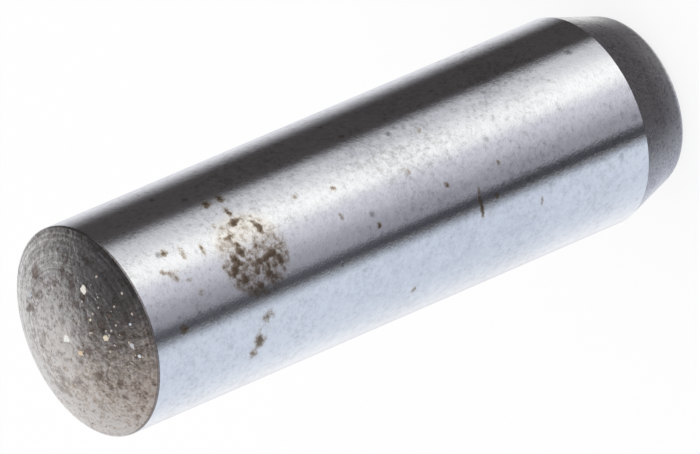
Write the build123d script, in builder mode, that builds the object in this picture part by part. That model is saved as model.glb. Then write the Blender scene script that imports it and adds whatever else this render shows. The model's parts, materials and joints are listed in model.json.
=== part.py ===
from build123d import *
import math
import os

# A hardened and ground dowel pin, stood on the flat of its lead-in end.
# The origin is the centre of that flat, and +Z runs up the pin's axis to the crowned end.
# All sizes are in millimetres, and angles are in degrees.

# The pin as a whole
pin_diameter = 6.0
pin_length = 20.0

# The taper that leads the pin into its hole, measured to the sharp corner before it is rounded
lead_length = 1.9
lead_angle = 18.0
end_edge_radius = 0.5

# The crowned end: its spherical radius, and the small radius that breaks its rim
crown_radius = 6.0
rim_break_radius = 0.06

# Where each stretch of the outline ends
pin_radius = pin_diameter / 2
lead_end_radius = pin_radius - lead_length * math.tan(math.radians(lead_angle))
crown_centre_height = pin_length - crown_radius
crown_rim_angle = math.degrees(math.acos(pin_radius / crown_radius))
crown_rim_height = crown_centre_height + crown_radius * math.sin(math.radians(crown_rim_angle))

# One turned piece: half its outline is drawn on the axis, its two corners are rounded, and it is revolved
with BuildPart() as dowel_pin:
    with BuildSketch(Plane.XZ) as half_outline:
        with BuildLine():
            Line((0, 0), (lead_end_radius, 0))
            Line((lead_end_radius, 0), (pin_radius, lead_length))
            Line((pin_radius, lead_length), (pin_radius, crown_rim_height))
            CenterArc((0, crown_centre_height), crown_radius, crown_rim_angle, 90 - crown_rim_angle)
            Line((0, pin_length), (0, 0))
        make_face()
        crown_rim = half_outline.vertices().sort_by_distance((pin_radius, crown_rim_height))[0]
        fillet(crown_rim, radius=rim_break_radius)
        end_edge = half_outline.vertices().sort_by_distance((lead_end_radius, 0))[0]
        fillet(end_edge, radius=end_edge_radius)
    revolve(axis=Axis.Z)

dowel_pin.part.label = "dowel_pin"

os.makedirs("parts", exist_ok=True)
export_step(dowel_pin.part, "parts/dowel_pin.step")
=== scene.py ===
import json
import math
import bpy
from mathutils import Matrix, Vector


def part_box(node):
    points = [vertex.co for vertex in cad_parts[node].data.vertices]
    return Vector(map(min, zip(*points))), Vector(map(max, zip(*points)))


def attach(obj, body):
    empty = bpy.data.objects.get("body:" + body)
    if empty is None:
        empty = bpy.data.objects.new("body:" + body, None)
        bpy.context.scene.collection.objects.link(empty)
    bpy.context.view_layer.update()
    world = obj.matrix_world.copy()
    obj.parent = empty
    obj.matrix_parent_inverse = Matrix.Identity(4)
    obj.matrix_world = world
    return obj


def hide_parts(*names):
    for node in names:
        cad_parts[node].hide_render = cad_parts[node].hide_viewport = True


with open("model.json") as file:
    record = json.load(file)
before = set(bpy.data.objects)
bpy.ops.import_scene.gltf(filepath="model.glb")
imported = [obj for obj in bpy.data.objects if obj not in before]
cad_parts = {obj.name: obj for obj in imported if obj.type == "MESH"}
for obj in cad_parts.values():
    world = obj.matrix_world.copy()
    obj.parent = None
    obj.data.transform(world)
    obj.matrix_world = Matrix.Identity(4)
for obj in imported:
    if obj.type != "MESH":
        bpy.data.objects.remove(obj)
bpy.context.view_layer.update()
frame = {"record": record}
bpy.context.scene.view_settings.view_transform = "Standard"
mm = 0.001
plainWhite = (1, 1, 1, 1)
pinNode = "dowel_pin"


# Small helpers for building node trees
def wire(tree, socket, value):
    if isinstance(value, bpy.types.NodeSocket):
        tree.links.new(value, socket)
    else:
        socket.default_value = value


def put(tree, kind, wires=None, **settings):
    node = tree.nodes.new(kind)
    node.location = (190 * len(tree.nodes), 0)
    for name, value in settings.items():
        setattr(node, name, value)
    for key, value in (wires or {}).items():
        wire(tree, node.inputs[key], value)
    return node


def maths(tree, operation, *values):
    return put(tree, "ShaderNodeMath", dict(enumerate(values)), operation=operation).outputs[0]


def times(tree, first, second):
    return maths(tree, "MULTIPLY", first, second)


def timesPlus(tree, first, second, added):
    return maths(tree, "MULTIPLY_ADD", first, second, added)


def vectorMaths(tree, operation, first, second):
    key = 3 if operation == "SCALE" else 1   # a plain factor has a socket of its own
    return put(tree, "ShaderNodeVectorMath", {0: first, key: second}, operation=operation).outputs[0]


def combine(tree, x, y, z=0.0):
    return put(tree, "ShaderNodeCombineXYZ", {"X": x, "Y": y, "Z": z}).outputs[0]


def separate(tree, vector):
    return put(tree, "ShaderNodeSeparateXYZ", {0: vector}).outputs


def reachSquared(tree, at):   # of a point from the pin's axis
    return maths(tree, "ADD", times(tree, at["X"], at["X"]), times(tree, at["Y"], at["Y"]))


def moved(tree, geometry, how, where):
    return put(tree, "GeometryNodeSetPosition", {"Geometry": geometry, how: where}).outputs[0]


def ramp(tree, value, start, end, low=0.0, high=1.0, smooth=True):
    kind = "SMOOTHSTEP" if smooth else "LINEAR"
    wires = {"Value": value, "From Min": start, "From Max": end, "To Min": low, "To Max": high}
    return put(tree, "ShaderNodeMapRange", wires, interpolation_type=kind).outputs["Result"]


def blendColour(tree, factor, under, over, mode="MIX"):
    node = put(tree, "ShaderNodeMix", {0: factor, 6: under, 7: over}, data_type="RGBA", blend_type=mode)
    return node.outputs[2]


def newTree(name, kind, inputs, outputs):
    # Each socket is given as its name and kind, and an input may add its usual value
    tree = bpy.data.node_groups.new(name, kind)
    for side, sockets in (("INPUT", inputs), ("OUTPUT", outputs)):
        for socketName, socketKind, *usual in sockets:
            socketType = "NodeSocket" + socketKind
            socket = tree.interface.new_socket(name=socketName, in_out=side, socket_type=socketType)
            if usual:
                socket.default_value = usual[0]
    return tree, put(tree, "NodeGroupInput").outputs, put(tree, "NodeGroupOutput").inputs


def place(tree, group, **values):
    node = put(tree, "ShaderNodeGroup", node_tree=group, label=group.name)
    for name, value in values.items():
        wire(tree, next(s for s in node.inputs if s.name.replace(" ", "").lower() == name.lower()), value)
    return node.outputs


# The camera: it looks down on the crowned end, and leans over until the pin lies as in the photo
photoView = {
    "width": 700,
    "height": 454,
    "rimCentre": (87.5, 331.6),   # where the middle of the crown's rim falls in the picture
    "rimRadius": 111.84,          # half the rim's long axis in the picture
    "elevation": 32.85,
    "lean": 203.23,               # the way the crown points in the picture, from the right, anticlockwise
    "distance": 575.0 * mm,
    "sensor": 36.0,
    "clip": (0.05, 20.0),
}

pinShape = {
    "leadAngle": 18.0,
    "endEdgeRadius": 0.5 * mm,
    "crownRadius": 6.0 * mm,
    "rimBreakRadius": 0.06 * mm,
    "segments": 320,
    "mergeDistance": 0.0005 * mm,
    "shankStep": 0.11 * mm,
    "crownStep": 0.036 * mm,
    "leadStep": 0.07 * mm,
    "edgeStep": 0.012 * mm,       # the first row beside a crisp corner
    "arcStep": 9.0,               # degrees
    "ringPitch": 0.15 * mm,       # rings left by the turning tool
    "ringFade": 0.05 * mm,
    "ringSlope": 3.0,             # how much more a height counts than a reach
    "ringWear": (1.2 * mm, 2.4 * mm, 0.35),   # the share left inside the first reach, all past the second
    "crownRingDepth": 0.0022 * mm,
    "leadRingDepth": 0.0012 * mm,
    "hollowCentre": (0.05 * mm, -0.12 * mm, 20.0 * mm),   # the largest white grain lies in it
    "hollowDepth": 0.015 * mm,
    "hollowFloor": 0.1 * mm,
    "hollowReach": 0.35 * mm,
}

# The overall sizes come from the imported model
shankMount = next(m for m in frame["record"]["mounts"] if m["name"] == "shank")
pinRadius = shankMount["dims"]["r_mm"] * mm
shankLength = shankMount["dims"]["length_mm"] * mm
leadLength = shankMount["pos_m"][2] - shankLength / 2
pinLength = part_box(pinNode)[1].z
crownCentre = pinLength - pinShape["crownRadius"]
rimHeight = crownCentre + math.sqrt(pinShape["crownRadius"] ** 2 - pinRadius ** 2)


def makeCamera(view):
    scale = pinRadius / view["rimRadius"]
    focusPoint = Vector((0, 0, rimHeight))
    tilt = math.radians(view["elevation"])
    roll = math.radians(90 - view["lean"])
    forward = Vector((0, math.cos(tilt), -math.sin(tilt)))
    levelRight = Vector((1, 0, 0))
    levelUp = levelRight.cross(forward)
    right = levelRight * math.cos(roll) + levelUp * math.sin(roll)
    up = levelUp * math.cos(roll) - levelRight * math.sin(roll)
    stand = focusPoint - forward * view["distance"]
    toMiddleX = (view["width"] / 2 - view["rimCentre"][0]) * scale
    toMiddleY = (view["rimCentre"][1] - view["height"] / 2) * scale
    aim = (focusPoint + right * toMiddleX + up * toMiddleY - stand).normalized()
    right = (right - aim * right.dot(aim)).normalized()
    up = right.cross(aim)
    data = bpy.data.cameras.new("photoCamera")
    data.sensor_width = view["sensor"]
    data.lens = view["distance"] / scale / view["width"] * view["sensor"]
    data.clip_start, data.clip_end = view["clip"]
    camera = bpy.data.objects.new("photoCamera", data)
    camera.matrix_world = Matrix((
        (right.x, up.x, -aim.x, stand.x),
        (right.y, up.y, -aim.y, stand.y),
        (right.z, up.z, -aim.z, stand.z),
        (0, 0, 0, 1)))
    bpy.context.scene.collection.objects.link(camera)
    bpy.context.scene.camera = camera


makeCamera(photoView)
print("camera placed")


# Half of the pin's outline, as rows from the middle of its flat end to the top of its crown
def rowsAlong(start, end, step, firstStep=None):
    length = (Vector(end) - Vector(start)).length
    count = max(1, round(length / step))
    shares = [k / count for k in range(1, count + 1)]
    if firstStep:
        shares = [firstStep / length] + shares[:-1] + [1 - firstStep / length, 1]
    return [tuple(Vector(start).lerp(Vector(end), share)) for share in shares]


def rowsRound(centre, radius, fromAngle, toAngle, step):
    count = max(1, math.ceil(abs(toAngle - fromAngle) / step))
    angles = [math.radians(fromAngle + (toAngle - fromAngle) * k / count) for k in range(1, count + 1)]
    return [(centre[0] + radius * math.cos(a), centre[1] + radius * math.sin(a)) for a in angles]


def halfOutline(shape):
    endEdge, rimBreak, crown = shape["endEdgeRadius"], shape["rimBreakRadius"], shape["crownRadius"]
    sharpEnd = pinRadius - leadLength * math.tan(math.radians(shape["leadAngle"]))
    flatRadius = sharpEnd - endEdge * math.tan(math.radians(90 - shape["leadAngle"]) / 2)
    rimLevel = crownCentre + math.sqrt((crown - rimBreak) ** 2 - (pinRadius - rimBreak) ** 2)
    crownStart = math.degrees(math.atan2(rimLevel - crownCentre, pinRadius - rimBreak))
    crownStep = math.degrees(shape["crownStep"] / crown)
    rows = [(0.0, 0.0)]
    rows += rowsAlong(rows[-1], (flatRadius, 0.0), 3 * shape["leadStep"])
    rows += rowsRound((flatRadius, endEdge), endEdge, -90, -shape["leadAngle"], shape["arcStep"])
    rows += rowsAlong(rows[-1], (pinRadius, leadLength), shape["leadStep"], shape["edgeStep"])
    rows += rowsAlong(rows[-1], (pinRadius, rimLevel), shape["shankStep"], shape["edgeStep"])
    rows += rowsRound((pinRadius - rimBreak, rimLevel), rimBreak, 0, crownStart, 2 * shape["arcStep"])
    rows += rowsRound((0.0, crownCentre), crown, crownStart, 90, crownStep)
    rows[-1] = (0.0, pinLength)
    return rows


# The turning: a grid is wrapped round the axis, each of its columns on the outline
def turnedFormTree(shape):
    tree, given, out = newTree("turnedForm", "GeometryNodeTree", [
        ("Geometry", "Geometry"), ("Segments", "Int"), ("Merge Distance", "Float"), ("Lead Height", "Float"),
        ("Rim Height", "Float"), ("Ring Pitch", "Float"), ("Crown Ring Depth", "Float"),
        ("Lead Ring Depth", "Float"), ("Hollow Centre", "Vector"), ("Hollow Depth", "Float"),
        ("Hollow Reach", "Float"), ("Lead-In Finish", "Material"), ("Shank Finish", "Material"),
        ("Crown Finish", "Material"),
    ], [("Geometry", "Geometry")])
    outline = given["Geometry"]
    rows = put(tree, "GeometryNodeAttributeDomainSize", {0: outline}).outputs["Point Count"]
    columns = maths(tree, "ADD", given["Segments"], 1.0)
    grid = put(tree, "GeometryNodeMeshGrid", {
        "Size X": 1.0, "Size Y": 1.0, "Vertices X": columns, "Vertices Y": rows})
    index = put(tree, "GeometryNodeInputIndex").outputs[0]
    row = maths(tree, "FLOORED_MODULO", index, rows)
    column = maths(tree, "FLOOR", maths(tree, "DIVIDE", index, rows))
    turn = times(tree, maths(tree, "DIVIDE", column, given["Segments"]), 2 * math.pi)
    spot = put(tree, "GeometryNodeInputPosition").outputs[0]
    onOutline = put(tree, "GeometryNodeSampleIndex", {"Geometry": outline, "Value": spot, "Index": row},
                    data_type="FLOAT_VECTOR", domain="POINT").outputs[0]
    turned = put(tree, "ShaderNodeVectorRotate", {"Vector": onOutline, "Angle": turn},
                 rotation_type="Z_AXIS").outputs[0]
    wrapped = moved(tree, grid.outputs["Mesh"], "Position", turned)
    closed = put(tree, "GeometryNodeMergeByDistance", {
        "Geometry": wrapped, "Distance": given["Merge Distance"]}).outputs[0]

    # Rings that the tool left on both ends, cut inward only and mostly worn off in the middle of the crown
    at = separate(tree, spot)
    reach = maths(tree, "SQRT", reachSquared(tree, at))
    wornReach, wholeReach, wornShare = shape["ringWear"]
    fade = shape["ringFade"]
    ringPlace = timesPlus(tree, at["Z"], shape["ringSlope"], reach)
    ringPlace = maths(tree, "DIVIDE", ringPlace, given["Ring Pitch"])
    ring = put(tree, "ShaderNodeTexNoise", {"W": ringPlace, "Scale": 1.0, "Detail": 1.0},
               noise_dimensions="1D").outputs[0]
    onCrown = ramp(tree, maths(tree, "SUBTRACT", at["Z"], given["Rim Height"]), 0.0, fade)
    onCrown = times(tree, onCrown, ramp(tree, reach, wornReach, wholeReach, wornShare, 1.0))
    onLead = ramp(tree, maths(tree, "SUBTRACT", at["Z"], given["Lead Height"]), -2 * fade, -fade, 1.0, 0.0)
    ringDepth = maths(tree, "ADD", times(tree, onCrown, given["Crown Ring Depth"]),
                      times(tree, onLead, given["Lead Ring Depth"]))
    fromHollow = put(tree, "ShaderNodeVectorMath", {0: spot, 1: given["Hollow Centre"]},
                     operation="DISTANCE").outputs["Value"]
    hollow = ramp(tree, fromHollow, shape["hollowFloor"], given["Hollow Reach"], given["Hollow Depth"], 0.0)
    depth = timesPlus(tree, ring, ringDepth, hollow)
    normal = put(tree, "GeometryNodeInputNormal").outputs[0]
    inward = vectorMaths(tree, "SCALE", normal, times(tree, depth, -1.0))
    cut = moved(tree, closed, "Offset", inward)

    # One finish for each stretch
    skin = put(tree, "GeometryNodeSetShadeSmooth", {"Geometry": cut}).outputs[0]
    skin = put(tree, "GeometryNodeSetMaterial", {
        "Geometry": skin, "Material": given["Shank Finish"]}).outputs[0]
    for edge, operation, finishName in (("Lead Height", "LESS_THAN", "Lead-In Finish"),
                                        ("Rim Height", "GREATER_THAN", "Crown Finish")):
        here = put(tree, "FunctionNodeCompare", {"A": at["Z"], "B": given[edge]},
                   operation=operation).outputs[0]
        skin = put(tree, "GeometryNodeSetMaterial", {
            "Geometry": skin, "Selection": here, "Material": given[finishName]}).outputs[0]
    wire(tree, out["Geometry"], put(tree, "GeometryNodeRealizeInstances", {0: skin}).outputs[0])
    return tree


def plainMesh(name, source, tree, values):
    # Runs the tree on the source and keeps the result as a mesh of its own
    holder = bpy.data.objects.new(source.name, source)
    bpy.context.scene.collection.objects.link(holder)
    modifier = holder.modifiers.new(tree.name, "NODES")
    modifier.node_group = tree
    sockets = {s.name: s.identifier for s in tree.interface.items_tree if s.in_out == "INPUT"}
    for socketName, value in values.items():
        modifier[sockets[socketName]] = value
    holder.update_tag()
    shaped = holder.evaluated_get(bpy.context.evaluated_depsgraph_get())
    piece = bpy.data.objects.new(name, bpy.data.meshes.new_from_object(shaped))
    bpy.context.scene.collection.objects.link(piece)
    holder.modifiers.remove(modifier)
    bpy.data.objects.remove(holder)
    return piece


# What the steel mirrors: pale walls and dark flags, as panels in a white room
# Angles are in degrees. Azimuth 0 is towards the camera and 90 is the pin's +X side.
roomPanels = [
    {"name": "paleWall", "colour": (0.61, 0.665, 0.77), "azimuth": (-88, -46), "softAzimuth": (100, 5),
     "elevation": (-90, 20), "softElevation": (0, 30)},
    {"name": "rearWall", "colour": (0.77, 0.775, 0.825), "azimuth": (120, 186), "softAzimuth": (10, 24),
     "elevation": (-35, -29), "softElevation": (5, 14)},
    {"name": "rearUpper", "colour": (0.68, 0.665, 0.66), "azimuth": (105, 255), "softAzimuth": (20, 20),
     "elevation": (14, 90), "softElevation": (30, 0)},
    {"name": "frontDim", "colour": (0.63, 0.635, 0.70), "azimuth": (-30, 11), "softAzimuth": (3, 19),
     "elevation": (-90, 60), "softElevation": (0, 20)},
    {"name": "frontGrey", "colour": (0.295, 0.295, 0.34), "azimuth": (-30, -22), "softAzimuth": (3, 37),
     "elevation": (-90, 60), "softElevation": (0, 20)},
    {"name": "gapLine", "colour": (0.060, 0.062, 0.074), "azimuth": (-38.5, -33), "softAzimuth": (16, 9),
     "elevation": (-90, 60), "softElevation": (0, 20)},
    {"name": "sideDim", "colour": (0.57, 0.58, 0.62), "azimuth": (68, 92), "softAzimuth": (33, 10),
     "elevation": (-90, 60), "softElevation": (0, 30)},
    {"name": "sideFlag", "colour": (0.056, 0.051, 0.052), "azimuth": (85, 121), "softAzimuth": (19, 42),
     "elevation": (-90, 90), "softElevation": (0, 0)},
    {"name": "paleFloor", "colour": (0.52, 0.545, 0.63), "azimuth": (-165, -100), "softAzimuth": (15, 60),
     "elevation": (-90, -46), "softElevation": (0, 14)},
    {"name": "darkFloor", "colour": (0.067, 0.062, 0.067), "azimuth": (-57, 121), "softAzimuth": (120, 44),
     "elevation": (-90, -48), "softElevation": (0, 15)},
    {"name": "darkCeiling", "colour": (0.035, 0.033, 0.035), "azimuth": (-181, 181), "softAzimuth": (0, 0),
     "elevation": (66, 90), "softElevation": (32, 0)},
    {"name": "leftUpper", "colour": (0.50, 0.465, 0.45), "azimuth": (-140, -60), "softAzimuth": (22, 40),
     "elevation": (44, 60), "softElevation": (20, 20)},
    {"name": "rightUpper", "colour": (0.05, 0.047, 0.05), "azimuth": (80, 134), "softAzimuth": (20, 30),
     "elevation": (46, 90), "softElevation": (22, 0)},
]

roomLight = {
    "fill": 0.94,
    "sharpest": 0.1,   # degrees, the least soft edge of a panel
    "lampWatts": 0.08,
    "lampSize": 0.12,
    "lampPlace": (-0.12, -0.10, 0.30),
}


def roomPanelTree():
    tree, given, out = newTree("roomPanel", "ShaderNodeTree", [
        ("Under", "Color"), ("Panel", "Color"), ("Azimuth", "Float"), ("Middle", "Float"),
        ("Half Width", "Float"), ("Soft Low Side", "Float"), ("Soft High Side", "Float"),
        ("Elevation", "Float"), ("Bottom", "Float"), ("Top", "Float"), ("Soft Bottom", "Float"),
        ("Soft Top", "Float"),
    ], [("Colour", "Color")])
    aside = maths(tree, "WRAP", maths(tree, "SUBTRACT", given["Azimuth"], given["Middle"]), 180.0, -180.0)

    def soft(value, edge, width):   # 1 inside the edge and 0 past its soft width
        return ramp(tree, value, edge, maths(tree, "ADD", edge, width), 1.0, 0.0)

    lowSide = soft(times(tree, aside, -1.0), given["Half Width"], given["Soft Low Side"])
    highSide = soft(aside, given["Half Width"], given["Soft High Side"])
    below = soft(times(tree, given["Elevation"], -1.0), times(tree, given["Bottom"], -1.0),
                 given["Soft Bottom"])
    above = soft(given["Elevation"], given["Top"], given["Soft Top"])
    mask = times(tree, times(tree, lowSide, highSide), times(tree, below, above))
    wire(tree, out["Colour"], blendColour(tree, mask, given["Under"], given["Panel"]))
    return tree


def makeRoom(light):
    world = bpy.data.worlds.new("studioRoom")
    bpy.context.scene.world = world
    world.use_nodes = True
    world.cycles.sampling_method = "NONE"   # the panels are for mirrored rays alone
    tree = world.node_tree
    tree.nodes.clear()
    way = separate(tree, put(tree, "ShaderNodeTexCoord").outputs["Generated"])
    azimuth = maths(tree, "DEGREES", maths(tree, "ARCTAN2", way["X"], times(tree, way["Y"], -1.0)))
    elevation = maths(tree, "DEGREES", maths(tree, "ARCSINE", way["Z"]))
    panelTree = roomPanelTree()
    colour = plainWhite
    for panel in roomPanels:
        start, end = panel["azimuth"]
        bottom, top = panel["elevation"]
        softStart, softEnd, softBottom, softTop = (
            max(light["sharpest"], width) for width in panel["softAzimuth"] + panel["softElevation"])
        colour = place(
            tree, panelTree, under=colour, panel=(*panel["colour"], 1),
            azimuth=azimuth, middle=(start + end) / 2, halfWidth=(end - start) / 2,
            softLowSide=softStart, softHighSide=softEnd,
            elevation=elevation, bottom=bottom, top=top, softBottom=softBottom, softTop=softTop)["Colour"]
        tree.nodes[-1].label = panel["name"]
    rays = put(tree, "ShaderNodeLightPath").outputs
    mirrored = maths(tree, "MAXIMUM", rays["Is Glossy Ray"], rays["Is Transmission Ray"])
    seen = maths(tree, "MAXIMUM", rays["Is Camera Ray"], mirrored)
    shown = blendColour(tree, mirrored, plainWhite, colour)
    strength = ramp(tree, seen, 0.0, 1.0, light["fill"], 1.0, smooth=False)
    background = put(tree, "ShaderNodeBackground", {"Color": shown, "Strength": strength})
    put(tree, "ShaderNodeOutputWorld", {"Surface": background.outputs[0]})


def makeLamp(light):
    data = bpy.data.lights.new("softLamp", "AREA")
    data.energy = light["lampWatts"]
    data.size = light["lampSize"]
    lamp = bpy.data.objects.new("softLamp", data)
    lamp.location = light["lampPlace"]
    lamp.rotation_euler = (-lamp.location).to_track_quat("-Z", "Y").to_euler()
    lamp.visible_glossy = False
    bpy.context.scene.collection.objects.link(lamp)


makeRoom(roomLight)
makeLamp(roomLight)

floorLook = {"size": 6.0, "colour": (0.97, 0.97, 0.97, 1), "ownWhite": 0.82}


def makeFloor(look):
    half = look["size"] / 2
    mesh = bpy.data.meshes.new("paleFloor")
    corners = [(-half, -half, 0), (half, -half, 0), (half, half, 0), (-half, half, 0)]
    mesh.from_pydata(corners, [], [(0, 1, 2, 3)])
    floor = bpy.data.objects.new("paleFloor", mesh)
    bpy.context.scene.collection.objects.link(floor)
    material = bpy.data.materials.new("paleFloor")
    material.use_nodes = True
    tree = material.node_tree
    tree.nodes.clear()
    lit = put(tree, "ShaderNodeBsdfDiffuse", {"Color": look["colour"]})
    white = put(tree, "ShaderNodeEmission", {"Color": plainWhite, "Strength": 1.0})
    rays = put(tree, "ShaderNodeLightPath").outputs
    share = times(tree, rays["Is Camera Ray"], look["ownWhite"])
    mixed = put(tree, "ShaderNodeMixShader", {0: share, 1: lit.outputs[0], 2: white.outputs[0]})
    put(tree, "ShaderNodeOutputMaterial", {"Surface": mixed.outputs[0]})
    mesh.materials.append(material)
    floor.visible_glossy = False   # steel mirrors the white room through it


makeFloor(floorLook)
print("room, lamp and floor made")


# Effects that the finishes share. All places and sizes in them are in millimetres.
def pinPlaceTree():
    # Where a point lies: Around is the arc from the camera's side to +X, Up the height, Reach the radius
    tree, _, out = newTree("pinPlace", "ShaderNodeTree", [], [
        ("Place", "Vector"), ("Across", "Float"), ("Depth", "Float"), ("Around", "Float"),
        ("Up", "Float"), ("Reach", "Float")])
    inMetres = put(tree, "ShaderNodeTexCoord").outputs["Object"]
    spot = vectorMaths(tree, "SCALE", inMetres, 1 / mm)
    at = separate(tree, spot)
    turn = maths(tree, "ARCTAN2", at["X"], times(tree, at["Y"], -1.0))
    arc = times(tree, turn, pinRadius / mm)
    reach = maths(tree, "SQRT", reachSquared(tree, at))
    for name, value in (("Place", spot), ("Across", at["X"]), ("Depth", at["Y"]), ("Around", arc),
                        ("Up", at["Z"]), ("Reach", reach)):
        wire(tree, out[name], value)
    return tree


def fineNoiseTree():
    # Noise round zero, whose size is the width of its coarsest grain
    tree, given, out = newTree("fineNoise", "ShaderNodeTree", [
        ("Place", "Vector"), ("Size", "Float"), ("Shift", "Float"), ("Detail", "Float", 3.0),
        ("Roughness", "Float", 0.6),
    ], [("Value", "Float")])
    noise = put(tree, "ShaderNodeTexNoise", {
        "Vector": given["Place"], "W": given["Shift"], "Scale": maths(tree, "DIVIDE", 1.0, given["Size"]),
        "Detail": given["Detail"], "Roughness": given["Roughness"]}, noise_dimensions="4D").outputs[0]
    wire(tree, out["Value"], times(tree, maths(tree, "SUBTRACT", noise, 0.5), 2.0))
    return tree


def pitTree():
    # Small round pits of mixed sizes, one at most in each cell
    tree, given, out = newTree("finePits", "ShaderNodeTree", [
        ("Place", "Vector"), ("Spacing", "Float"), ("Radius", "Float"), ("Share", "Float"),
        ("Softness", "Float"),
    ], [("Mask", "Float")])
    smallest = 0.3   # the smallest pit's radius over the largest one's
    cells = maths(tree, "DIVIDE", 1.0, given["Spacing"])
    cell = put(tree, "ShaderNodeTexVoronoi", {
        "Vector": given["Place"], "Scale": cells}, feature="F1").outputs
    chance = put(tree, "ShaderNodeSeparateColor", {0: cell["Color"]}).outputs
    radius = times(tree, given["Radius"], timesPlus(tree, chance[1], 1 - smallest, smallest))
    away = times(tree, cell["Distance"], given["Spacing"])
    inner = times(tree, radius, maths(tree, "SUBTRACT", 1.0, given["Softness"]))
    mask = ramp(tree, away, inner, radius, 1.0, 0.0)
    there = maths(tree, "LESS_THAN", chance[0], given["Share"])
    wire(tree, out["Mask"], times(tree, mask, there))
    return tree


def markTree():
    # One soft oval mark, laid over the marks before it
    tree, given, out = newTree("ovalMark", "ShaderNodeTree", [
        ("Under", "Float"), ("Place", "Vector"), ("Middle", "Vector"), ("Half Size", "Vector"),
        ("Strength", "Float", 1.0),
    ], [("Mask", "Float")])
    fadedOut = 1.3   # half sizes from the middle to where nothing is left of the mark
    aside = vectorMaths(tree, "SUBTRACT", given["Place"], given["Middle"])
    aside = vectorMaths(tree, "DIVIDE", aside, given["Half Size"])
    away = put(tree, "ShaderNodeVectorMath", {0: aside}, operation="LENGTH").outputs["Value"]
    mask = times(tree, ramp(tree, away, 0.0, fadedOut, 1.0, 0.0), given["Strength"])
    left = maths(tree, "SUBTRACT", 1.0, given["Under"])
    wire(tree, out["Mask"], timesPlus(tree, mask, left, given["Under"]))
    return tree


pinPlace, fineNoise, finePits, ovalMark = pinPlaceTree(), fineNoiseTree(), pitTree(), markTree()


def noiseAt(tree, spot, **values):
    return place(tree, fineNoise, place=spot, **values)["Value"]


def raggedPlace(tree, spot, first, second, size, by):
    # The two coordinates of a mark's place, pushed about so that its edge is ragged
    pushFirst = noiseAt(tree, spot, size=size, shift=11.0)
    pushSecond = noiseAt(tree, spot, size=size, shift=17.0)
    return combine(tree, timesPlus(tree, pushFirst, by, first), timesPlus(tree, pushSecond, by, second))


def marksOver(tree, ragged, marks):
    mask = 0.0
    for first, second, firstHalf, secondHalf, strength in marks:
        mask = place(tree, ovalMark, under=mask, place=ragged, middle=(first, second, 0),
                     halfSize=(firstHalf, secondHalf, 1), strength=strength)["Mask"]
    return mask


def startMaterial(name):
    material = bpy.data.materials.new(name)
    material.use_nodes = True
    tree = material.node_tree
    tree.nodes.clear()
    surface = put(tree, "ShaderNodeBsdfPrincipled")
    put(tree, "ShaderNodeOutputMaterial", {"Surface": surface.outputs[0]})
    return material, tree, surface


def finish(tree, surface, colour, roughness, metallic, height):
    bump = put(tree, "ShaderNodeBump", {"Height": height, "Distance": mm, "Strength": 1.0})
    for name, value in (("Base Color", colour), ("Roughness", roughness), ("Metallic", metallic),
                        ("Normal", bump.outputs[0])):
        wire(tree, surface.inputs[name], value)


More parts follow.
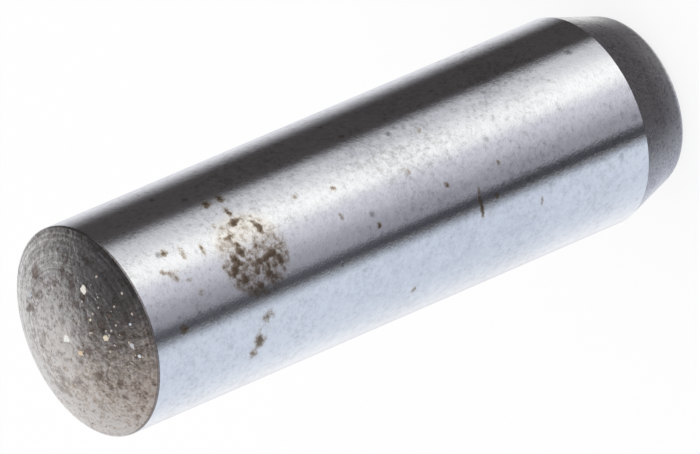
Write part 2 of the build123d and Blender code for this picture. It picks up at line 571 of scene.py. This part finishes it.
groundShank = {
    "steel": (0.99, 0.995, 1.0, 1),
    "dullSteel": (0.75, 0.76, 0.79, 1),
    "speckBrown": (0.36, 0.315, 0.26, 1),
    "pitBrown": (0.05, 0.038, 0.028, 1),
    "stainBrown": (0.088, 0.055, 0.032, 1),
    "stainOlive": (0.26, 0.19, 0.125, 1),
    "stainTan": (0.58, 0.49, 0.38, 1),
    "stainCream": (0.95, 0.90, 0.82, 1),
    "flakeCream": (1.0, 0.97, 0.90, 1),
    "roughness": (0.08, 0.17),        # at the lead-in end and at the crown
    "grain": {"size": 0.06, "detail": 2.0, "roughness": 0.5},
    "wave": {"size": 0.30, "shift": 3.0},
    "cloud": {"size": 2.2, "shift": 5.0, "detail": 4.0},
    "mottle": {"size": 0.13, "shift": 31.0, "detail": 4.0, "roughness": 0.7},
    "blotch": {"size": 0.20, "shift": 23.0, "detail": 4.0, "roughness": 0.7},
    "ragged": {"size": 0.13, "by": 0.05},
    "raggedPits": {"size": 0.08, "by": 0.07},
    "smallPits": {"spacing": 0.26, "radius": 0.10, "softness": 1.0},
    "largePits": {"spacing": 0.66, "radius": 0.17, "share": 0.42, "softness": 0.95},
    "grainDepth": 0.0011,
    "waveDepth": 0.0015,
    "pitDepth": 0.004,
    "soilHeight": 0.005,
    "pitShares": (0.06, 0.42),        # of the small pits, in the clearest and the most clouded stretches
    "pitsEnd": (9.2, 9.35),           # the arc runs to 9.42 on the far side
    "underside": ((-0.9, -1.5), (-9.4, -8.0)),   # where it starts and ends on the arc
    "undersideShare": 0.4,            # how much of the pits and specks it has
    "dullestUp": 8.5,
    "dulling": (1.5, 6.0, 0.04, 0.25),
    # Where each layer of the stains begins and is full
    "haze": (0.05, 0.40),
    "thinSoil": (0.22, 0.66),
    "thickSoil": (0.50, 1.12),
    "stainMiddle": (15.28, 0.20, 0),
    "stainHalf": (1.12, 1.25, 1),
    "stainLower": (0.75, 0.0),        # from where to where on the arc it thickens
    # Up, around, half height, half arc and strength of each mark, as read off the photo
    "marks": [
        (17.77, 1.14, 0.16, 0.14, 0.80), (17.28, 0.96, 0.12, 0.30, 0.45), (16.68, 0.79, 0.12, 0.28, 0.45),
        (18.16, 0.66, 0.13, 0.13, 0.44), (17.96, 0.56, 0.15, 0.13, 0.46), (17.70, 0.54, 0.17, 0.10, 0.42),
        (17.87, 0.36, 0.20, 0.13, 0.42), (17.50, 0.20, 0.18, 0.09, 0.38), (17.30, -0.24, 0.16, 0.16, 0.28),
        (18.17, -0.98, 0.20, 0.16, 0.68),
        (15.63, 2.02, 0.19, 0.20, 0.70), (15.17, 2.02, 0.17, 0.20, 0.80), (15.27, 1.56, 0.14, 0.28, 0.70),
        (15.90, 1.30, 0.12, 0.12, 0.40), (15.33, -1.58, 0.29, 0.24, 0.48), (15.67, -2.24, 0.24, 0.30, 0.50),
        (15.87, -2.61, 0.20, 0.20, 0.46), (15.55, -2.00, 0.55, 0.80, 0.17), (15.90, -2.75, 0.40, 0.40, 0.15),
        (5.62, 4.27, 0.13, 0.12, 0.50), (5.42, 4.16, 0.17, 0.12, 0.45), (4.80, 4.21, 0.12, 0.12, 0.50),
        (4.38, 4.21, 0.12, 0.12, 0.42), (6.75, 4.60, 0.12, 0.14, 0.50), (11.46, 4.42, 0.10, 0.10, 0.42),
        (7.77, -1.12, 0.09, 0.44, 0.85), (7.72, -0.66, 0.08, 0.18, 0.36), (7.50, -1.35, 0.32, 0.32, 0.18),
        (11.18, -0.47, 0.11, 0.12, 0.70), (10.18, -2.83, 0.12, 0.16, 0.40), (8.55, 1.52, 0.11, 0.12, 0.70),
        (12.00, 0.94, 0.13, 0.13, 0.52), (12.20, 0.16, 0.10, 0.16, 0.50), (8.67, -0.21, 0.10, 0.14, 0.65),
        (6.85, -0.16, 0.11, 0.12, 0.60), (7.20, -1.0, 0.09, 0.14, 0.70), (5.70, -1.68, 0.08, 0.20, 0.55),
        (10.60, 2.36, 0.14, 0.11, 0.60), (13.20, 1.15, 0.11, 0.11, 0.50), (9.60, 0.55, 0.10, 0.12, 0.45),
    ],
    # The dark blobs in the big stain, in the same way
    "stainBlobs": [
        (15.37, 1.17, 0.20, 0.15, 0.95), (15.13, 1.22, 0.20, 0.11, 0.62), (14.73, 0.74, 0.15, 0.26, 0.72),
        (14.88, 1.00, 0.17, 0.16, 0.48), (15.73, 0.82, 0.30, 0.14, 0.62), (15.67, 0.59, 0.22, 0.16, 0.50),
        (15.87, 0.42, 0.30, 0.12, 0.45), (15.63, 0.34, 0.15, 0.30, 0.85), (15.93, 0.22, 0.18, 0.18, 0.90),
        (16.02, -0.01, 0.20, 0.18, 0.95), (15.84, 0.06, 0.16, 0.16, 0.85), (16.12, -0.18, 0.12, 0.18, 0.65),
        (15.83, -0.38, 0.28, 0.26, 0.90), (15.47, 0.06, 0.16, 0.13, 0.65), (15.17, -0.08, 0.30, 0.15, 0.90),
        (14.80, -0.01, 0.28, 0.17, 0.95), (14.57, -0.24, 0.17, 0.28, 0.90), (15.37, -0.31, 0.20, 0.22, 0.70),
        (15.03, -0.51, 0.26, 0.18, 0.78), (14.97, -0.28, 0.12, 0.22, 0.75), (15.40, -0.71, 0.28, 0.18, 0.55),
        (15.05, -0.68, 0.20, 0.15, 0.50), (14.43, 0.30, 0.08, 0.40, 0.40),
    ],
}


def groundShankMaterial(look):
    material, tree, surface = startMaterial("groundShank")
    at = place(tree, pinPlace)
    spot, up, around = at["Place"], at["Up"], at["Around"]
    grain, wave, cloud, mottle, blotch = (
        noiseAt(tree, spot, **look[name]) for name in ("grain", "wave", "cloud", "mottle", "blotch"))
    # Marks are soft ovals with ragged edges
    ragged = raggedPlace(tree, spot, up, around, **look["ragged"])
    marks = marksOver(tree, ragged, look["marks"])
    blobs = marksOver(tree, ragged, look["stainBlobs"])
    # The big stain: an oval field round its blobs, thicker in its lower half and flaky in its upper half
    oval = place(tree, ovalMark, place=ragged, middle=look["stainMiddle"], halfSize=look["stainHalf"])
    field = ramp(tree, oval["Mask"], 0.03, 0.25)
    lower = ramp(tree, around, *look["stainLower"])
    film = times(tree, field, timesPlus(tree, lower, 0.15, 0.23))
    level = maths(tree, "MAXIMUM", marks, maths(tree, "MAXIMUM", blobs, film))
    level = timesPlus(tree, blotch, ramp(tree, level, 0.0, 0.35), level)
    haze, thinSoil, thickSoil = (
        ramp(tree, level, *look[name]) for name in ("haze", "thinSoil", "thickSoil"))
    flakes = times(tree, maths(tree, "SUBTRACT", field, lower), ramp(tree, blotch, 0.0, -0.25))
    # Pits everywhere, more of them in the clouded stretches, and faint brown specks between them
    crowd = ramp(tree, cloud, -0.5, 0.4, *look["pitShares"], smooth=False)
    pitPlace = raggedPlace(tree, spot, up, around, **look["raggedPits"])
    smallPits = place(tree, finePits, place=pitPlace, share=crowd, **look["smallPits"])["Mask"]
    largePits = place(tree, finePits, place=pitPlace, **look["largePits"])["Mask"]
    pitted = maths(tree, "MAXIMUM", times(tree, smallPits, 0.22), times(tree, largePits, 0.55))
    specks = ramp(tree, timesPlus(tree, cloud, 0.5, mottle), 0.0, 0.6, 0.0, 0.5)
    # Fewer of both on the side turned down in the photo, and no pits cut off where the arc's two ends meet
    nearEdge, farEdge = look["underside"]
    turnedDown = times(tree, ramp(tree, around, *nearEdge), ramp(tree, around, *farEdge))
    underside = ramp(tree, turnedDown, 0.0, 1.0, 1.0, look["undersideShare"], smooth=False)
    specks = times(tree, specks, underside)
    pitted = times(tree, pitted, underside)
    pitted = times(tree, pitted, ramp(tree, maths(tree, "ABSOLUTE", around), *look["pitsEnd"], 1.0, 0.0))

    # The steel's own tone, dullest halfway along
    unevenness = maths(tree, "ADD", times(tree, wave, 0.45), times(tree, cloud, 0.3))
    tone = timesPlus(tree, mottle, 0.8, unevenness)
    fromDullest = maths(tree, "ABSOLUTE", maths(tree, "SUBTRACT", up, look["dullestUp"]))
    tone = maths(tree, "SUBTRACT", tone, ramp(tree, fromDullest, *look["dulling"]))
    dullShare = ramp(tree, tone, -0.38, 0.40, smooth=False)
    colour = blendColour(tree, dullShare, look["steel"], look["dullSteel"])
    creamShare = times(tree, field, timesPlus(tree, lower, -0.15, 0.3))
    for share, name in ((specks, "speckBrown"), (creamShare, "stainCream"), (flakes, "flakeCream"),
                        (pitted, "pitBrown"), (times(tree, haze, 0.6), "stainTan"),
                        (times(tree, thinSoil, 0.85), "stainOlive"), (thickSoil, "stainBrown")):
        colour = blendColour(tree, share, colour, look[name])

    rough = ramp(tree, up, leadLength / mm, rimHeight / mm, *look["roughness"], smooth=False)
    rough = timesPlus(tree, mottle, 0.04, rough)
    rough = timesPlus(tree, maths(tree, "MAXIMUM", thinSoil, pitted), 0.12, rough)
    metallic = ramp(tree, level, 0.7, 1.1, 1.0, 0.5)
    height = timesPlus(tree, wave, look["waveDepth"], times(tree, grain, look["grainDepth"]))
    height = timesPlus(tree, pitted, -look["pitDepth"], times(tree, height, underside))
    height = timesPlus(tree, thickSoil, look["soilHeight"], height)
    finish(tree, surface, colour, rough, metallic, height)
    return material


turnedCrown = {
    "coolSteel": (0.80, 0.785, 0.80, 1),
    "warmSteel": (0.89, 0.80, 0.73, 1),
    "grime": (0.33, 0.275, 0.235, 1),
    # the colour of the painted shade on the crown's rim
    "rimGrime": (0.19, 0.16, 0.15, 1),
    "markBrown": (0.15, 0.095, 0.065, 1),
    "palePatch": (1.0, 0.98, 0.965, 1),
    "ringShade": (0.57, 0.57, 0.58, 1),
    "roughness": 0.32,
    "grain": {"size": 0.14, "roughness": 0.7},
    "lump": {"size": 0.28, "shift": 2.0, "detail": 4.0},
    "hue": {"size": 0.20, "shift": 14.0},
    "cloud": {"size": 1.1, "shift": 7.0, "detail": 4.0},
    "fade": {"size": 1.6, "shift": 9.0, "detail": 2.0},
    "sand": {"size": 0.075, "shift": 13.0, "detail": 2.0},
    "ragged": {"size": 0.24, "by": 0.10},
    "specks": {"spacing": 0.34, "radius": 0.13, "share": 0.22, "softness": 1.0},
    "ringPitch": 0.11,
    "ringDepth": 0.0035,
    "grainDepth": 0.010,
    "lumpDepth": 0.010,
    # From one reach to another, and how strong at each
    "ringWear": (0.6, 2.2, 0.25, 1.0),
    "ringShadeWear": (0.9, 2.3, 0.25, 0.9),
    "cleanTip": (0.8, 0.15),
    # where the rim's edge break is darkened as painted shade, on the camera's side
    "rimDirt": (2.94, 2.975, 0.0, 0.7),
    "dullRing": 1.5,                  # the reach of a duller ring, and its half width and strength
    "dullRingFade": (0.1, 0.7, 0.15, 0.0),
    # Across, depth, their half sizes and strength of each dark spot
    "marks": [
        (1.19, 1.42, 0.13, 0.38, 1.0), (1.04, 1.10, 0.26, 0.18, 0.6), (2.00, 0.54, 0.30, 0.34, 0.85),
        (0.85, -0.96, 0.30, 0.20, 0.55), (1.27, -1.08, 0.28, 0.24, 0.45), (0.88, -1.38, 0.20, 0.18, 0.55),
        (-0.50, -0.77, 0.18, 0.28, 0.68), (-0.54, -1.15, 0.18, 0.16, 0.5), (-2.00, -1.00, 0.18, 0.18, 0.6),
        (-1.60, -1.20, 0.24, 0.20, 0.6), (-0.02, -1.62, 0.28, 0.18, 0.7), (0.15, -2.00, 0.18, 0.14, 0.7),
        (-0.46, -2.10, 0.30, 0.14, 0.6), (0.46, -2.30, 0.18, 0.12, 0.6), (1.77, -0.77, 0.24, 0.18, 0.6),
        (-1.15, 0.30, 0.28, 0.42, 0.5), (-2.10, 0.15, 0.28, 0.40, 0.3), (-1.15, 1.50, 0.22, 0.44, 0.5),
        (1.45, 0.70, 0.16, 0.30, 0.6), (-1.30, -0.65, 0.24, 0.20, 0.5),
    ],
}


def turnedCrownMaterial(look):
    material, tree, surface = startMaterial("turnedCrown")
    at = place(tree, pinPlace)
    spot, across, depth, reach = at["Place"], at["Across"], at["Depth"], at["Reach"]
    grain, lump, hue, cloud, fade, sand = (
        noiseAt(tree, spot, **look[name]) for name in ("grain", "lump", "hue", "cloud", "fade", "sand"))
    marks = marksOver(tree, raggedPlace(tree, spot, across, depth, **look["ragged"]), look["marks"])
    marks = ramp(tree, timesPlus(tree, grain, ramp(tree, marks, 0.0, 0.3, 0.0, 0.8), marks), 0.15, 0.75)
    # Turning rings, strongest near the rim and worn away in places
    ringPlace = maths(tree, "DIVIDE", reach, look["ringPitch"])
    ring = put(tree, "ShaderNodeTexNoise", {"W": ringPlace, "Scale": 1.0, "Detail": 3.0},
               noise_dimensions="1D").outputs[0]
    ringShare = times(tree, ramp(tree, reach, *look["ringWear"]), ramp(tree, fade, -0.35, 0.3, 0.35, 1.0))
    ringShare = times(tree, ringShare, ramp(tree, across, -2.0, 0.6, 0.12, 1.0))
    rings = times(tree, maths(tree, "SUBTRACT", ring, 0.5), ringShare)

    # Warmer towards -X, where old grease has browned it. Paler with less grime at its tip, and towards the
    # rear, where this is painted light on the crown's lit side
    side = timesPlus(tree, hue, 1.6, times(tree, across, -0.5))
    steel = blendColour(tree, ramp(tree, side, -0.4, 1.0), look["coolSteel"], look["warmSteel"])
    rearward = timesPlus(tree, across, -0.45, times(tree, depth, 0.75))
    cleanTip = ramp(tree, reach, *look["cleanTip"])
    # Painted light: paler towards the rear and -X, the crown's lit side, joined with the paler tip
    paleTipAndLitSide = maths(tree, "MAXIMUM", cleanTip, ramp(tree, rearward, -0.2, 1.8, 0.0, 0.95))
    speckle = timesPlus(tree, sand, 0.8, times(tree, grain, 0.8))
    paleLevel = timesPlus(tree, paleTipAndLitSide, 0.40, times(tree, lump, 0.9))
    offRing = maths(tree, "ABSOLUTE", maths(tree, "SUBTRACT", reach, look["dullRing"]))
    dullRing = ramp(tree, offRing, *look["dullRingFade"])
    dullRing = times(tree, dullRing, ramp(tree, across, 1.2, -1.2, 0.3, 1.4))
    paleLevel = maths(tree, "SUBTRACT", paleLevel, dullRing)
    pale = ramp(tree, maths(tree, "ADD", speckle, paleLevel), -0.05, 0.45)
    steel = blendColour(tree, times(tree, pale, 0.9), steel, look["palePatch"])
    dirtLevel = timesPlus(tree, lump, -0.9, timesPlus(tree, cloud, 0.4, dullRing))
    dirt = ramp(tree, maths(tree, "SUBTRACT", dirtLevel, speckle), -0.1, 0.65)
    specks = place(tree, finePits, place=spot, **look["specks"])["Mask"]
    dirt = maths(tree, "MAXIMUM", times(tree, dirt, 0.9), times(tree, specks, 0.45))
    # Less grime at the tip and on the lit side; on the lit side this is painted light
    dirt = times(tree, dirt, timesPlus(tree, paleTipAndLitSide, -0.45, 1.0))
    colour = blendColour(tree, dirt, steel, look["grime"])
    colour = blendColour(tree, times(tree, marks, 0.85), colour, look["markBrown"])
    ringTone = blendColour(tree, ramp(tree, rings, -0.12, 0.12), look["ringShade"], plainWhite)
    colour = blendColour(tree, ramp(tree, reach, *look["ringShadeWear"]), colour, ringTone, "MULTIPLY")
    # Painted shade: the rim's edge break is darkened on the camera's side, where it would mirror a bright
    # line
    rimDirt = times(tree, ramp(tree, reach, *look["rimDirt"]), ramp(tree, depth, 0.6, -0.6))
    colour = blendColour(tree, rimDirt, colour, look["rimGrime"])
    rough = timesPlus(tree, lump, 0.05, timesPlus(tree, dirt, 0.12, look["roughness"]))
    metallic = ramp(tree, marks, 0.7, 1.0, 1.0, 0.5)
    height = timesPlus(tree, grain, look["grainDepth"], times(tree, rings, look["ringDepth"]))
    height = timesPlus(tree, lump, look["lumpDepth"], height)
    finish(tree, surface, colour, rough, metallic, height)
    return material


turnedLead = {
    "steel": (1.0, 1.0, 1.0, 1),
    "dullSteel": (0.60, 0.58, 0.61, 1),
    "pitBrown": (0.12, 0.10, 0.085, 1),
    "roughness": (1.2, 0.3, 0.26, 0.42),   # from one height to another, and how rough at each
    "specksEnd": (0.4, 1.0),          # none at the first height, all from the second on
    "streakStretch": (0.5, 7.0, 4.0),   # across and depth, up, and reach
    "streak": {"size": 0.5, "shift": 4.0, "detail": 4.0},
    "grain": {"size": 0.08, "detail": 2.0},
    "cloud": {"size": 0.6, "shift": 6.0, "detail": 4.0},
    "specks": {"spacing": 0.3, "radius": 0.08, "share": 0.3, "softness": 0.7},
    "streakDepth": 0.0010,
    "grainDepth": 0.0022,
}


def turnedLeadMaterial(look):
    material, tree, surface = startMaterial("turnedLead")
    at = place(tree, pinPlace)
    spot, up, reach = at["Place"], at["Up"], at["Reach"]
    # Streaks run round the taper: the pattern is long around and short along
    side, rise, outward = look["streakStretch"]
    along = maths(tree, "ADD", times(tree, up, rise), times(tree, reach, outward))
    drawn = combine(tree, times(tree, at["Across"], side), times(tree, at["Depth"], side), along)
    streak = noiseAt(tree, drawn, **look["streak"])
    grain, cloud = (noiseAt(tree, spot, **look[name]) for name in ("grain", "cloud"))
    specks = place(tree, finePits, place=spot, **look["specks"])["Mask"]
    specks = times(tree, specks, ramp(tree, up, *look["specksEnd"]))
    tone = timesPlus(tree, streak, 0.35, timesPlus(tree, cloud, 0.4, times(tree, grain, 0.9)))
    steel = blendColour(tree, ramp(tree, tone, -0.2, 0.5), look["steel"], look["dullSteel"])
    colour = blendColour(tree, times(tree, specks, 0.6), steel, look["pitBrown"])
    rough = timesPlus(tree, streak, 0.04, ramp(tree, up, *look["roughness"]))
    metallic = ramp(tree, specks, 0.7, 1.0, 1.0, 0.7)
    height = timesPlus(tree, grain, look["grainDepth"], times(tree, streak, look["streakDepth"]))
    finish(tree, surface, colour, rough, metallic, height)
    return material


def makePin(shape):
    outline = halfOutline(shape)
    source = bpy.data.meshes.new("pinOutline")
    source.from_pydata([(r, 0, z) for r, z in outline], [(k, k + 1) for k in range(len(outline) - 1)], [])
    pin = plainMesh("turnedPin", source, turnedFormTree(shape), {
        "Segments": shape["segments"],
        "Merge Distance": shape["mergeDistance"],
        "Lead Height": leadLength,
        "Rim Height": rimHeight - shape["rimBreakRadius"],
        "Ring Pitch": shape["ringPitch"],
        "Crown Ring Depth": shape["crownRingDepth"],
        "Lead Ring Depth": shape["leadRingDepth"],
        "Hollow Centre": shape["hollowCentre"],
        "Hollow Depth": shape["hollowDepth"],
        "Hollow Reach": shape["hollowReach"],
        "Lead-In Finish": turnedLeadMaterial(turnedLead),
        "Shank Finish": groundShankMaterial(groundShank),
        "Crown Finish": turnedCrownMaterial(turnedCrown),
    })
    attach(pin, "root")
    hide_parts(pinNode)
    return pin


pin = makePin(pinShape)
print("pin turned:", len(pin.data.polygons), "faces")

crownGrit = {
    "dustGrey": (0.47, 0.41, 0.36, 1),
    "bluishWhite": (0.52, 0.58, 0.66, 1),
    "white": (0.88, 0.88, 0.85, 1),
    "cream": (0.76, 0.67, 0.53, 1),
    "orange": (0.66, 0.40, 0.22, 1),
    "shade": (0.45, 0.38, 0.30, 1),
    "roughness": 0.5,
    "grain": {"size": 0.03, "detail": 2.0},
    "grainDepth": 0.002,
    "seed": 4,
    "specks": 90,
    "speckReach": 2.7 * mm,
    "speckTurn": (0.8 * math.pi, 1.7 * math.pi),   # the half towards -X and the camera
    "speckHalf": (0.014 * mm, 0.040 * mm),
    "speckLength": (0.7, 1.3),    # over its width
    "speckHeight": 0.7,
    "speckTint": (-1.0, -0.75),
    "flatness": 0.28,             # height of the larger grains over their width
    "raggedSize": 0.09 * mm,
    "ragged": 1.4,
    "topHeight": 19.9995 * mm,
    # Across, depth, half width, half length and tint of each larger grain
    # The tint runs from -1 dusty grey through 0 bluish, 1 white and 2 cream to 3 orange
    "grains": [
        (0.05, -0.12, 0.13, 0.16, 1.0), (-0.46, -0.46, 0.08, 0.10, 2.4), (-0.36, -1.60, 0.08, 0.09, 2.1),
        (1.08, -1.45, 0.12, 0.10, 1.4), (0.26, -1.35, 0.04, 0.04, 2.0), (-1.15, -2.25, 0.05, 0.05, 0.4),
        (-0.82, -2.23, 0.09, 0.06, -0.4), (-0.27, -2.48, 0.04, 0.04, 0.0), (1.50, 1.08, 0.06, 0.08, -0.2),
        (-1.20, 0.77, 0.05, 0.06, 2.3),
    ],
}


def crownGritMaterial(look):
    material, tree, surface = startMaterial("crownGrit")
    spot = place(tree, pinPlace)["Place"]
    tint = put(tree, "ShaderNodeAttribute", attribute_name="tint").outputs["Fac"]
    colour = look["dustGrey"]
    for start, name in ((-1.0, "bluishWhite"), (0.0, "white"), (1.0, "cream"), (2.0, "orange")):
        colour = blendColour(tree, ramp(tree, tint, start, start + 1.0), colour, look[name])
    grain = noiseAt(tree, spot, **look["grain"])
    colour = blendColour(tree, ramp(tree, grain, 0.0, 0.6, 0.0, 0.5), colour, look["shade"], "MULTIPLY")
    rough = timesPlus(tree, grain, 0.1, look["roughness"])
    finish(tree, surface, colour, rough, 0.0, times(tree, grain, look["grainDepth"]))
    return material


# Grit on the crown: the larger grains lie where the photo has them, the specks by chance
def gritTree(look):
    tree, given, out = newTree("scatteredGrit", "GeometryNodeTree", [
        ("Geometry", "Geometry"), ("Specks", "Int"), ("Seed", "Int"), ("Speck Reach", "Float"),
        ("Smallest Half", "Float"), ("Largest Half", "Float"), ("Crown Radius", "Float"),
        ("Crown Centre", "Vector"), ("Ragged", "Float"), ("Top Height", "Float"), ("Finish", "Material"),
    ], [("Geometry", "Geometry")])

    def chance(low, high, shift):
        values = {2: low, 3: high, "Seed": maths(tree, "ADD", given["Seed"], float(shift))}
        return put(tree, "FunctionNodeRandomValue", values, data_type="FLOAT").outputs[1]

    def store(points, name, value, kind):
        wires = {"Geometry": points, "Name": name, "Value": value}
        node = put(tree, "GeometryNodeStoreNamedAttribute", wires, data_type=kind, domain="POINT")
        return node.outputs[0]

    reach = times(tree, maths(tree, "SQRT", chance(0.04, 1.0, 0)), given["Speck Reach"])
    turn = chance(*look["speckTurn"], 1)
    scattered = combine(tree, times(tree, reach, maths(tree, "COSINE", turn)),
                        times(tree, reach, maths(tree, "SINE", turn)))
    specks = put(tree, "GeometryNodePoints", {"Count": given["Specks"], "Position": scattered}).outputs[0]
    half = chance(given["Smallest Half"], given["Largest Half"], 2)
    speckHalf = combine(tree, half, times(tree, half, chance(*look["speckLength"], 3)),
                        times(tree, half, look["speckHeight"]))
    specks = store(specks, "halfSize", speckHalf, "FLOAT_VECTOR")
    specks = store(specks, "tint", chance(*look["speckTint"], 4), "FLOAT")
    grains = put(tree, "GeometryNodeMeshToPoints", {"Mesh": given["Geometry"]}).outputs[0]
    join = put(tree, "GeometryNodeJoinGeometry")
    wire(tree, join.inputs[0], grains)
    wire(tree, join.inputs[0], specks)

    # Each one sits half sunk in the crown's surface, and none stands higher than its top
    halfSize = put(tree, "GeometryNodeInputNamedAttribute", {"Name": "halfSize"},
                   data_type="FLOAT_VECTOR").outputs[0]
    spot = put(tree, "GeometryNodeInputPosition").outputs[0]
    at = separate(tree, spot)
    radiusSquared = maths(tree, "POWER", given["Crown Radius"], 2.0)
    bulge = maths(tree, "SQRT", maths(tree, "SUBTRACT", radiusSquared, reachSquared(tree, at)))
    height = maths(tree, "ADD", separate(tree, given["Crown Centre"])["Z"], bulge)
    highest = maths(tree, "SUBTRACT", given["Top Height"], separate(tree, halfSize)["Z"])
    seat = combine(tree, at["X"], at["Y"], maths(tree, "MINIMUM", height, highest))
    seated = moved(tree, join.outputs[0], "Position", seat)
    outward = vectorMaths(tree, "SUBTRACT", spot, given["Crown Centre"])
    upright = put(tree, "FunctionNodeAlignRotationToVector", {"Vector": outward}, axis="Z").outputs[0]
    ball = put(tree, "GeometryNodeMeshIcoSphere", {"Radius": 1.0, "Subdivisions": 3}).outputs[0]
    balls = put(tree, "GeometryNodeInstanceOnPoints", {
        "Points": seated, "Instance": ball, "Rotation": upright, "Scale": halfSize}).outputs[0]
    whole = put(tree, "GeometryNodeRealizeInstances", {0: balls}).outputs[0]

    # Ragged grains
    fineness = 1 / look["raggedSize"]
    rough = put(tree, "ShaderNodeTexNoise", {"Vector": spot, "Scale": fineness, "Detail": 2.0},
                noise_dimensions="3D").outputs["Color"]
    push = vectorMaths(tree, "SUBTRACT", rough, (0.5, 0.5, 0.5))
    push = vectorMaths(tree, "MULTIPLY", push, halfSize)
    push = vectorMaths(tree, "SCALE", push, given["Ragged"])
    low = combine(tree, at["X"], at["Y"], maths(tree, "MINIMUM", at["Z"], given["Top Height"]))
    kept = moved(tree, moved(tree, whole, "Offset", push), "Position", low)
    smooth = put(tree, "GeometryNodeSetShadeSmooth", {"Geometry": kept}).outputs[0]
    coated = put(tree, "GeometryNodeSetMaterial", {
        "Geometry": smooth, "Material": given["Finish"]}).outputs[0]
    wire(tree, out["Geometry"], put(tree, "GeometryNodeRealizeInstances", {0: coated}).outputs[0])
    return tree


def makeGrit(look):
    source = bpy.data.meshes.new("gritSpots")
    source.from_pydata([(grain[0] * mm, grain[1] * mm, 0) for grain in look["grains"]], [], [])
    source.attributes.new("halfSize", "FLOAT_VECTOR", "POINT")
    source.attributes.new("tint", "FLOAT", "POINT")
    for k, (across, depth, halfWide, halfLong, tint) in enumerate(look["grains"]):
        halfHeight = look["flatness"] * (halfWide + halfLong) / 2
        source.attributes["halfSize"].data[k].vector = (halfWide * mm, halfLong * mm, halfHeight * mm)
        source.attributes["tint"].data[k].value = tint
    grit = plainMesh("crownGrit", source, gritTree(look), {
        "Specks": look["specks"],
        "Seed": look["seed"],
        "Speck Reach": look["speckReach"],
        "Smallest Half": look["speckHalf"][0],
        "Largest Half": look["speckHalf"][1],
        "Crown Radius": pinShape["crownRadius"],
        "Crown Centre": (0.0, 0.0, crownCentre),
        "Ragged": look["ragged"],
        "Top Height": look["topHeight"],
        "Finish": crownGritMaterial(look),
    })
    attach(grit, "root")
    return grit


grit = makeGrit(crownGrit)
print("grit laid:", len(grit.data.polygons), "faces")
